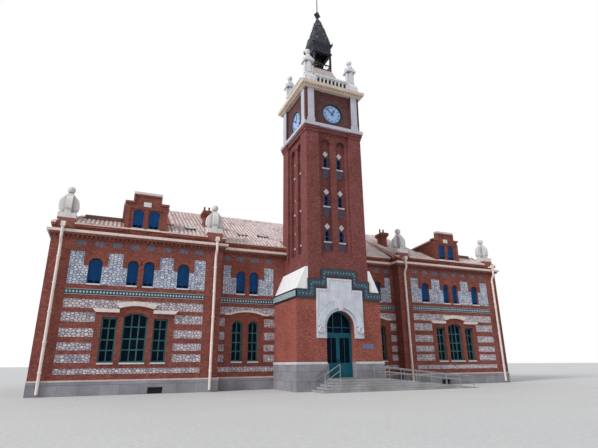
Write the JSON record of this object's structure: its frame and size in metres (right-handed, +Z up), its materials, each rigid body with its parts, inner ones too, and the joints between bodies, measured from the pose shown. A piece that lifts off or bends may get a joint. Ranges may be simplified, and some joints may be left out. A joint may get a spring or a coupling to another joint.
{
  "type": "cultural center",
  "caption": "Brick public building of two storeys with end pavilions, tiled roofs and a central clock tower with an iron belfry.",
  "frame": {"origin": "on the ground at the middle of the footprint, on the line of the tower's middle plane", "axes": "+X along the street front to the right as seen from the street, +Y into the building, +Z up"},
  "size_m": [38.46, 20.56, 35],
  "materials": {
    "granite": "rough",
    "floor_slab": "matt",
    "brick": "rough",
    "cream_stone": "matt",
    "white_stone": "matt",
    "teal_timber": "painted",
    "blue_timber": "painted",
    "window_glass": "clear",
    "roof_tile": "matt",
    "roof_sheet": "matt",
    "cream_metal": "satin",
    "dial_glass": "opal",
    "black_iron": "painted",
    "bell_bronze": "aged",
    "pale_stone": "matt",
    "steel": "satin",
    "hand_black": "satin"
  },
  "bodies": {
    "building": {"granite_plinth": "granite", "tower_plinth": "granite", "ground_floor": "floor_slab", "upper_floor": "floor_slab", "attic_floor": "floor_slab", "left_pavilion_wall": "brick", "right_pavilion_wall": "brick", "recess_walls": "brick", "end_walls": "brick", "rear_wall": "brick", "main_cornice": "cream_stone", "window_hoods": "cream_stone", "window_sills": "white_stone", "ground_window_frames": "teal_timber", "ground_window_glass": "window_glass", "upper_window_frames": "blue_timber", "upper_window_glass": "window_glass", "main_roof": "roof_tile", "pavilion_roofs": "roof_tile", "roof_gables": "brick", "dormers": "brick", "dormer_roofs": "roof_sheet", "dormer_copings": "cream_stone", "chimneys": "brick", "pavilion_pinnacles": "white_stone", "downpipes": "cream_metal", "tower_base_left": "brick", "tower_base_right": "brick", "tower_base_head": "brick", "buttress_caps": "white_stone", "entrance_surround": "white_stone", "door_frame": "teal_timber", "fanlight_glass": "window_glass", "tower_shaft": "brick", "clock_stage": "brick", "clock_stage_trim": "white_stone", "clock_dials": "dial_glass", "tower_cornice": "white_stone", "parapet": "white_stone", "tower_pinnacles": "white_stone", "belfry_roof": "black_iron", "belfry_frame": "black_iron", "bell": "bell_bronze", "spire": "black_iron", "entrance_steps": "pale_stone", "ramp": "pale_stone", "handrails": "steel"},
    "left_leaf": {"left_door_leaf": "teal_timber"},
    "right_leaf": {"right_door_leaf": "teal_timber"},
    "front_hour": {"front_hour_hand": "hand_black"},
    "front_minute": {"front_minute_hand": "hand_black"},
    "right_hour": {"right_hour_hand": "hand_black"},
    "right_minute": {"right_minute_hand": "hand_black"},
    "rear_hour": {"rear_hour_hand": "hand_black"},
    "rear_minute": {"rear_minute_hand": "hand_black"},
    "left_hour": {"left_hour_hand": "hand_black"},
    "left_minute": {"left_minute_hand": "hand_black"}
  },
  "joints": [
    {"name": "left_leaf_hinge", "type": "hinge", "parent": "building", "child": "left_leaf", "pos_m": [-1.027, -7.898, 0.82], "axis": [0, 0, 1], "range_deg": [0, 90]},
    {"name": "right_leaf_hinge", "type": "hinge", "parent": "building", "child": "right_leaf", "pos_m": [1.027, -7.898, 0.82], "axis": [0, 0, -1], "range_deg": [0, 90]},
    {"name": "front_minute_turn", "type": "hinge", "parent": "building", "child": "front_minute", "pos_m": [0, -8.27, 21.2], "axis": [0, 1, 0], "continuous": true},
    {"name": "front_hour_turn", "type": "hinge", "parent": "building", "child": "front_hour", "pos_m": [0, -8.27, 21.2], "axis": [0, 1, 0], "continuous": true},
    {"name": "right_minute_turn", "type": "hinge", "parent": "building", "child": "right_minute", "pos_m": [2.24, -6.03, 21.2], "axis": [-1, 0, 0], "continuous": true},
    {"name": "right_hour_turn", "type": "hinge", "parent": "building", "child": "right_hour", "pos_m": [2.24, -6.03, 21.2], "axis": [-1, 0, 0], "continuous": true},
    {"name": "rear_minute_turn", "type": "hinge", "parent": "building", "child": "rear_minute", "pos_m": [0, -3.79, 21.2], "axis": [0, -1, 0], "continuous": true},
    {"name": "rear_hour_turn", "type": "hinge", "parent": "building", "child": "rear_hour", "pos_m": [0, -3.79, 21.2], "axis": [0, -1, 0], "continuous": true},
    {"name": "left_minute_turn", "type": "hinge", "parent": "building", "child": "left_minute", "pos_m": [-2.24, -6.03, 21.2], "axis": [1, 0, 0], "continuous": true},
    {"name": "left_hour_turn", "type": "hinge", "parent": "building", "child": "left_hour", "pos_m": [-2.24, -6.03, 21.2], "axis": [1, 0, 0], "continuous": true}
  ],
  "couplings": [
    {"joint": "front_hour_turn", "follows": "front_minute_turn", "ratio": 0.083333},
    {"joint": "right_minute_turn", "follows": "front_minute_turn", "ratio": 1},
    {"joint": "right_hour_turn", "follows": "front_minute_turn", "ratio": 0.083333},
    {"joint": "rear_minute_turn", "follows": "front_minute_turn", "ratio": 1},
    {"joint": "rear_hour_turn", "follows": "front_minute_turn", "ratio": 0.083333},
    {"joint": "left_minute_turn", "follows": "front_minute_turn", "ratio": 1},
    {"joint": "left_hour_turn", "follows": "front_minute_turn", "ratio": 0.083333}
  ]
}
